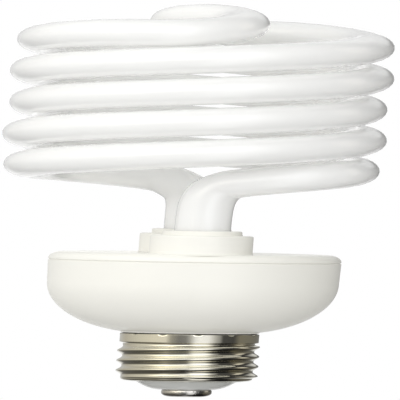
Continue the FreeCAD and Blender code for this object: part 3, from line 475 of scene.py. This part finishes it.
def surface(name, colour, vary=0.03, scale=60.0, roughness=0.4, rough_vary=0.05, metallic=0.0, coat=0.0,
            bump=0.0, painted_glow=0.0, scatter=0.0, painted_shade=None):
    """Surface whose colour and gloss wander a little, worked out from object coordinates. The last argument
    paints shade
    under an overhang: two heights, between which the colour darkens, and the share of its colour that it keeps
    above them."""
    material = bpy.data.materials.new(name)
    material.use_nodes = True
    tree = material.node_tree
    shader = tree.nodes["Principled BSDF"]
    place = tree.nodes.new("ShaderNodeTexCoord").outputs["Object"]
    wander = tree.nodes.new("ShaderNodeTexNoise")
    wander.inputs["Scale"].default_value = scale
    wander.inputs["Detail"].default_value = WANDER_DETAIL
    feed(tree, wander.inputs["Vector"], place)
    dark, light = [(*[min(1.0, c * (1 + change)) for c in colour], 1) for change in (-vary, vary)]
    tint = mixed(tree, "MIX", wander.outputs["Fac"], dark, light)
    if painted_shade:
        # painted shade: the colour darkens between the two heights, where an overhang shades the surface
        split = tree.nodes.new("ShaderNodeSeparateXYZ")
        feed(tree, split.inputs["Vector"], place)
        low, high, kept = painted_shade
        fade = mapped(tree, split.outputs["Z"], (low * MM, high * MM), (1.0, kept))
        tint = mixed(tree, "MULTIPLY", 1.0, tint, fade)
    gloss = mapped(tree, wander.outputs["Fac"], (0.0, 1.0), (roughness - rough_vary, roughness + rough_vary))
    feed(tree, shader.inputs["Base Color"], tint)
    feed(tree, shader.inputs["Roughness"], gloss)
    shader.inputs["Metallic"].default_value = metallic
    shader.inputs["Coat Weight"].default_value = coat
    shader.inputs["Coat Roughness"].default_value = COAT_ROUGHNESS
    if painted_glow:
        # painted light: the unlit tube glows a little, standing in for light that passes through the white
        # glass into shaded gaps
        shader.inputs["Emission Color"].default_value = (1, 1, 1, 1)
        shader.inputs["Emission Strength"].default_value = painted_glow
    if scatter:
        shader.inputs["Subsurface Weight"].default_value = scatter
        shader.inputs["Subsurface Radius"].default_value = (1, 1, 1)
        shader.inputs["Subsurface Scale"].default_value = SCATTER_REACH
    if bump:
        grain = tree.nodes.new("ShaderNodeTexNoise")
        grain.inputs["Scale"].default_value = scale * GRAIN_SCALE
        feed(tree, grain.inputs["Vector"], place)
        relief = tree.nodes.new("ShaderNodeBump")
        relief.inputs["Strength"].default_value = bump
        relief.inputs["Distance"].default_value = GRAIN_HEIGHT
        feed(tree, relief.inputs["Height"], grain.outputs["Fac"])
        feed(tree, shader.inputs["Normal"], relief.outputs["Normal"])
    return material


SLOT_LOOKS = {
    # the spiral's glass paints light with a faint glow, which brightens the shaded gaps between the strands
    "spiral_glass": dict(colour=(0.8, 0.8, 0.785), vary=0.004, scale=12, roughness=0.25, rough_vary=0.01,
                         coat=1.0, painted_glow=0.12, scatter=0.8),
    "housing_plastic": dict(colour=(0.935, 0.925, 0.86), vary=0.01, scale=40, roughness=0.42, coat=0.22,
                            bump=0.03),
    # the cap's metal carries painted shade on its curled edge, under the housing's foot
    "cap_metal": dict(colour=(0.8, 0.77, 0.66), vary=0.04, scale=90, roughness=0.09, rough_vary=0.03,
                      metallic=1.0, bump=0.03, painted_shade=SHADE_UNDER_HOUSING),
    "insulator_glass": dict(colour=(0.63, 0.635, 0.61), roughness=0.15, coat=0.5),
    "contact_metal": dict(colour=(0.62, 0.6, 0.56), vary=0.1, scale=300, roughness=0.15, metallic=1.0,
                          bump=0.3),
    "cement_white": dict(colour=(0.8, 0.79, 0.75), vary=0.05, scale=200, roughness=0.8, bump=0.5),
    "board_laminate": dict(colour=(0.5, 0.32, 0.14), vary=0.08, scale=120, roughness=0.6),
    "can_sleeve": dict(colour=(0.03, 0.03, 0.035), vary=0.1, roughness=0.3),
    "ferrite": dict(colour=(0.06, 0.06, 0.065), vary=0.2, scale=400, roughness=0.7, bump=0.3),
    "bobbin_plastic": dict(colour=(0.05, 0.05, 0.05), vary=0.1, roughness=0.5),
    "copper_wire": dict(colour=(0.72, 0.33, 0.16), vary=0.1, scale=300, roughness=0.35, metallic=0.9),
    "package_black": dict(colour=(0.03, 0.03, 0.03), vary=0.1, scale=300, roughness=0.6, bump=0.2),
    "film_green": dict(colour=(0.03, 0.2, 0.09), vary=0.1, roughness=0.25, coat=0.3),
    "film_brown": dict(colour=(0.3, 0.08, 0.03), vary=0.1, roughness=0.25, coat=0.3),
    "tinned_wire": dict(colour=(0.7, 0.7, 0.68), vary=0.05, scale=300, roughness=0.35, metallic=1.0),
    "resistor_coat": dict(colour=(0.55, 0.4, 0.24), vary=0.06, roughness=0.45),
    "diac_glass": dict(colour=(0.2, 0.3, 0.55), vary=0.06, roughness=0.2, coat=0.4),
    "thermistor_coat": dict(colour=(0.03, 0.07, 0.25), vary=0.08, roughness=0.35),
    "wire_sleeve": dict(colour=(0.7, 0.7, 0.67), roughness=0.5),
}

materials = {slot: surface(slot, **look) for slot, look in SLOT_LOOKS.items()}


def dress(obj, slot):
    obj.data.materials.clear()
    obj.data.materials.append(materials[slot])


def finish_piece(obj, slot, node):
    dress(obj, slot)
    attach(obj, "root")
    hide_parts(node)


finish_piece(glass_spiral(), "spiral_glass", "glass_spiral")
finish_piece(holder_cover(), "housing_plastic", "holder_cover")
finish_piece(ballast_housing(), "housing_plastic", "ballast_housing")
finish_piece(screw_shell(), "cap_metal", "screw_shell")
finish_piece(cap_insulator(), "insulator_glass", "cap_insulator")
finish_piece(centre_contact(), "contact_metal", "centre_contact")

slot_of = {part["node"]: part["material_slot"] for part in frame["record"]["subparts"]}
for node, obj in frame["nodes"].items():
    dress(obj, slot_of[node])


# Studio

def key_light():
    data = bpy.data.lights.new("key", "AREA")
    data.size = KEY_SIZE
    data.energy = KEY_POWER
    light = linked("key", data)
    light.location = KEY_PLACE
    light.rotation_euler = (Vector(KEY_TARGET) - Vector(KEY_PLACE)).to_track_quat("-Z", "Y").to_euler()
    light.visible_glossy = False


def floor_white():
    """White where the camera sees it, greyer for the light it throws up on the bulb, and melting into the white
    background away from the bulb."""
    material = surface("floor_white", (FLOOR_THROWN,) * 3, vary=0.004, roughness=0.8)
    tree = material.node_tree
    shader = tree.nodes["Principled BSDF"]
    camera_ray = tree.nodes.new("ShaderNodeLightPath").outputs["Is Camera Ray"]
    thrown = shader.inputs["Base Color"].links[0].from_socket
    seen = mixed(tree, "MIX", camera_ray, thrown, (FLOOR_SEEN, FLOOR_SEEN, FLOOR_SEEN, 1))
    feed(tree, shader.inputs["Base Color"], seen)
    reach = tree.nodes.new("ShaderNodeVectorMath")
    reach.operation = "LENGTH"
    feed(tree, reach.inputs[0], tree.nodes.new("ShaderNodeNewGeometry").outputs["Position"])
    away = mapped(tree, reach.outputs["Value"], FLOOR_FADE, (0.0, 1.0), "SMOOTHSTEP")
    white = tree.nodes.new("ShaderNodeEmission").outputs["Emission"]
    melting = mixed_shaders(tree, math_node(tree, "MULTIPLY", away, camera_ray), shader.outputs["BSDF"], white)
    feed(tree, tree.nodes["Material Output"].inputs["Surface"], melting)
    return material


def floor():
    mesh = bpy.data.meshes.new("floor")
    corners = [(FLOOR_R * math.cos(a), FLOOR_R * math.sin(a), FLOOR_Z)
               for a in [2 * math.pi * i / FLOOR_CORNERS for i in range(FLOOR_CORNERS)]]
    mesh.from_pydata(corners, [], [list(range(FLOOR_CORNERS))])
    mesh.materials.append(floor_white())
    ground = linked("floor", mesh)
    ground.visible_glossy = False


# Light from each side as (bearing, value or colour): 0 behind the bulb, 0.25 left, 0.5 the camera, 0.75 right
SIDE_LIGHT = [(0.0, 0.85), (0.25, 0.9), (0.5, 0.92), (0.665, 1.05), (0.735, 0.2), (0.93, 0.18), (1.0, 0.85)]
SIDE_SHEEN = [(0.0, 0.5), (0.06, 0.46), (0.136, (0.44, 0.42, 0.38)), (0.237, (0.56, 0.54, 0.48)),
              (0.334, (0.67, 0.64, 0.56)), (0.39, (0.64, 0.61, 0.54)), (0.415, (0.26, 0.25, 0.22)),
              (0.453, 0.13), (0.485, 0.16), (0.509, 0.38), (0.528, (0.62, 0.63, 0.66)),
              (0.547, (0.73, 0.74, 0.78)), (0.585, (0.7, 0.71, 0.75)), (0.615, 0.46), (0.645, 0.26),
              (0.66, 0.06), (0.9, 0.04), (1.0, 0.08)]
# The same by height, from straight down, 0, over the horizon, 0.5, to straight up, 1
HEIGHT_LIGHT = [(0.0, 0.48), (0.42, 0.86), (0.5, 1.0), (0.62, 0.96), (1.0, 0.98)]
HEIGHT_SHEEN = [(0.0, 0.1), (0.3, 0.25), (0.42, 0.6), (0.48, 1.0), (0.84, 1.0), (0.92, 0.35), (1.0, 0.2)]
# Cards of light that only mirroring surfaces see, each by bearing and by height
CARDS = [
    # Large bright card in front, above the horizon
    ([(0.27, 0.0), (0.34, (0.85, 0.81, 0.71)), (0.42, (1.35, 1.31, 1.2)), (0.48, 1.35), (0.5, 0.95), (0.6, 0.6),
      (0.63, 0.0)],
     [(0.52, 0.0), (0.58, 1.0), (0.84, 1.0), (0.9, 0.0)]),
    # In front, below the horizon
    ([(0.34, 0.0), (0.37, 0.14), (0.5, 0.16), (0.53, 0.7), (0.59, 0.65), (0.63, 0.0)],
     [(0.04, 0.0), (0.15, 1.0), (0.44, 1.0), (0.5, 0.0)]),
    # Faint brown wall on the right and behind
    ([(0.72, 0.0), (0.76, (0.12, 0.11, 0.08)), (1.0, 0.1)],
     [(0.2, 0.0), (0.3, 1.0), (0.53, 1.0), (0.58, 0.0)]),
    # Warm strip on the right, above the horizon
    ([(0.755, 0.0), (0.78, (0.6, 0.56, 0.48)), (0.81, (0.6, 0.56, 0.48)), (0.84, 0.0)],
     [(0.52, 0.0), (0.58, 1.0), (0.75, 1.0), (0.85, 0.0)]),
    # Behind on the right, above the horizon
    ([(0.88, 0.0), (0.93, 0.5), (1.0, 0.5)],
     [(0.57, 0.0), (0.62, 1.0), (0.8, 1.0), (0.9, 0.0)]),
    # Right behind, below the horizon
    ([(0.0, 0.6), (0.04, 0.5), (0.07, 0.0), (0.93, 0.0), (0.96, 0.5), (1.0, 0.6)],
     [(0.0, 1.0), (0.42, 1.0), (0.47, 0.0)]),
    # Narrow strip right behind, at the horizon
    ([(0.0, 1.0), (0.01, 0.9), (0.022, 0.0), (0.978, 0.0), (0.99, 0.9), (1.0, 1.0)],
     [(0.47, 0.0), (0.5, 1.0), (0.56, 1.0), (0.6, 0.0)]),
]


def background(tree, colour, strength=1.0):
    shader = tree.nodes.new("ShaderNodeBackground")
    feed(tree, shader.inputs["Color"], colour)
    shader.inputs["Strength"].default_value = strength
    return shader.outputs["Background"]


def studio_world():
    """White where the camera looks past everything, soft light all round that falls off on the right, and cards
    of light and dark for the metal to mirror."""
    world = bpy.data.worlds.new("studio")
    bpy.context.scene.world = world
    world.use_nodes = True
    tree = world.node_tree
    tree.nodes.clear()
    split = tree.nodes.new("ShaderNodeSeparateXYZ")
    feed(tree, split.inputs["Vector"], tree.nodes.new("ShaderNodeTexCoord").outputs["Generated"])
    x, y, z = split.outputs
    angle = math_node(tree, "ARCTAN2", x, math_node(tree, "MULTIPLY", y, -1.0))
    bearing = math_node(tree, "MULTIPLY_ADD", angle, 0.5 / math.pi, 0.5)
    height = math_node(tree, "MULTIPLY_ADD", z, 0.5, 0.5)

    def card(sides, heights):
        return mixed(tree, "MULTIPLY", 1.0, ramp(tree, bearing, sides), ramp(tree, height, heights))

    mirror = card(SIDE_SHEEN, HEIGHT_SHEEN)
    for sides, heights in CARDS:
        mirror = mixed(tree, "ADD", 1.0, mirror, card(sides, heights))
    light = background(tree, card(SIDE_LIGHT, HEIGHT_LIGHT), WORLD_LIGHT)
    sheen = background(tree, mirror, WORLD_SHEEN)
    white = background(tree, (1, 1, 1, 1))
    ray = tree.nodes.new("ShaderNodeLightPath").outputs
    past = math_node(tree, "MAXIMUM", ray["Is Camera Ray"], ray["Is Transmission Ray"])
    around = mixed_shaders(tree, ray["Is Glossy Ray"], light, sheen)
    output = tree.nodes.new("ShaderNodeOutputWorld")
    feed(tree, output.inputs["Surface"], mixed_shaders(tree, past, around, white))


def photo_camera():
    """The photograph is squeezed to half its height, so the bulb keeps its true shape and the camera is sheared
    along its line of sight, which narrows the picture's width the same way and leaves its lines straight."""
    data = bpy.data.cameras.new("camera")
    half = PHOTO / 2 * PIXEL / SQUEEZE
    data.sensor_width = SENSOR
    data.lens = SENSOR / 2 / (half / DISTANCE)
    data.clip_start, data.clip_end = CLIP
    right = Vector((math.cos(ROLL), 0, math.sin(ROLL)))
    back = Vector((0, -math.cos(ELEVATION), math.sin(ELEVATION)))
    right = (right - back * right.dot(back)).normalized()
    up = back.cross(right)
    off_x = (PHOTO / 2 - ORIGIN_PX[0]) * PIXEL
    off_y = (ORIGIN_PX[1] - PHOTO / 2) * PIXEL / SQUEEZE
    slant = right * SQUEEZE + back * math.sqrt(1 - SQUEEZE ** 2)
    # Blender keeps no shear, so it is split into a turned and stretched carrier and the camera's own turn
    turn, stretch, spin = np.linalg.svd(np.array([slant, up, back]).T)
    if np.linalg.det(turn) < 0:
        turn[:, -1] *= -1
        spin[-1, :] *= -1
    place = Matrix((turn @ np.diag(stretch)).tolist()).to_4x4()
    place.translation = right * off_x + up * off_y + back * DISTANCE
    carrier = linked("camera_squeeze", None)
    carrier.matrix_world = place
    camera = linked("camera", data)
    camera.parent = carrier
    camera.matrix_basis = Matrix(spin.tolist()).to_4x4()
    bpy.context.scene.camera = camera


floor()
studio_world()
key_light()
photo_camera()
bpy.context.scene.view_settings.view_transform = "Standard"
